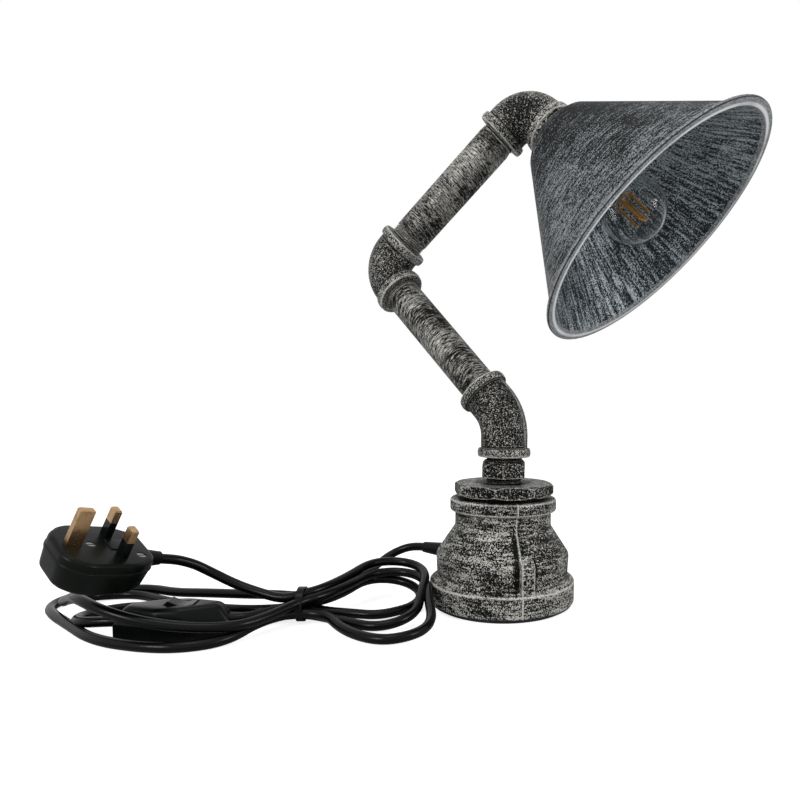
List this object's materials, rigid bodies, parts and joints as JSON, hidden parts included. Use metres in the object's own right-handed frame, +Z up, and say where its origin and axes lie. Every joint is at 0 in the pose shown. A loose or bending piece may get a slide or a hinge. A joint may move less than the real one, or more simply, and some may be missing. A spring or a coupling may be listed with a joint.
{
  "type": "table lamp",
  "caption": "Table lamp of threaded pipe fittings: reducing-socket base, swivelling angled arm of two pipes and elbows, cone shade, filament bulb, corded rocker switch and plug.",
  "frame": {"origin": "centre of the base pad's underside, on the table", "axes": "+Z up along the base fitting; -Y towards the front, where the shade and the cord face; +X to the right, the side the shade is on"},
  "size_m": [0.5013, 0.1902, 0.3685],
  "materials": {
    "amber_filament": "amber phosphor coating",
    "black_bakelite": "semi-gloss black moulding",
    "black_cord": "glossy black PVC sheath",
    "black_plastic": "semi-gloss black moulding",
    "black_steel": "black paint",
    "brass": "worn brass with a coppery tone",
    "brushed_black_iron": "black paint dry-brushed with warm pewter silver",
    "brushed_black_pipe": "black paint dry-brushed with warm silver round the pipe",
    "brushed_black_shade": "black paint dry-brushed with cool silver, silver lip",
    "ceramic": "white ceramic",
    "clear_glass": "clear glass",
    "plated_steel": "zinc plated",
    "rubber_pad": "matt black rubber",
    "stem_glass": "clear pressed glass"
  },
  "bodies": {
    "base": {"base_pad": "rubber_pad", "base_plate": "black_steel", "base_plate_screws": "black_steel", "base_reducer": "brushed_black_iron", "cord_from_lamp": "black_cord", "cord_gland": "black_plastic", "cord_gland_nut": "plated_steel", "cord_hank": "black_cord", "cord_tie": "black_cord", "cord_to_plug": "black_cord", "hex_nipple": "brushed_black_iron", "lead_in_base": "black_cord", "plug_base": "black_plastic", "plug_cord_grip": "black_plastic", "plug_cord_sleeve": "black_plastic", "plug_cover": "black_plastic", "plug_earth_pin": "brass", "plug_fuse": "ceramic", "plug_fuse_clips": "plated_steel", "plug_line_pins": "brass", "plug_pin_sleeves": "black_plastic", "plug_screws": "plated_steel", "reducing_bushing": "brushed_black_iron", "switch_base": "black_plastic", "switch_bearings": "black_plastic", "switch_contacts": "brass", "switch_cover": "black_plastic", "switch_screws": "plated_steel"},
    "bend": {"elbow_45": "brushed_black_iron", "lead_in_bend": "black_cord"},
    "lower_arm": {"lower_pipe": "brushed_black_pipe", "elbow_mid": "brushed_black_iron", "lead_in_lower_pipe": "black_cord"},
    "upper_arm": {"bulb_cap": "plated_steel", "bulb_filaments": "amber_filament", "bulb_glass": "clear_glass", "bulb_stem": "stem_glass", "elbow_top": "brushed_black_iron", "holder_bush": "plated_steel", "holder_stud": "plated_steel", "lampholder_cap": "black_bakelite", "lampholder_contact": "brass", "lampholder_insert": "black_bakelite", "lampholder_screw_shell": "brass", "lampholder_screws": "brass", "lampholder_skirt": "black_bakelite", "lead_in_upper_pipe": "black_cord", "shade": "brushed_black_shade", "shade_backnut": "plated_steel", "shade_locknut": "plated_steel", "shade_nipple": "plated_steel", "upper_pipe": "brushed_black_pipe"},
    "rocker": {"switch_rocker": "black_plastic"}
  },
  "joints": [
    {"name": "base_swivel", "type": "hinge", "parent": "base", "child": "bend", "pos_m": [0, 0, 0.1065], "axis": [0, 0, 1], "range_deg": [-170, 170]},
    {"name": "lower_pipe_turn", "type": "hinge", "parent": "bend", "child": "lower_arm", "pos_m": [0, 0, 0.135], "axis": [-0.593, 0.3851, 0.7071], "range_deg": [-60, 60]},
    {"name": "upper_pipe_turn", "type": "hinge", "parent": "lower_arm", "child": "upper_arm", "pos_m": [-0.09429, 0.06123, 0.24743], "axis": [0.6786, -0.2336, 0.6964], "range_deg": [-90, 90]},
    {"name": "switch_rocker_tilt", "type": "hinge", "parent": "base", "child": "rocker", "pos_m": [-0.201, -0.05979, 0.0156], "axis": [-0.0523, 0.9986, 0], "range_deg": [-18, 0]}
  ]
}
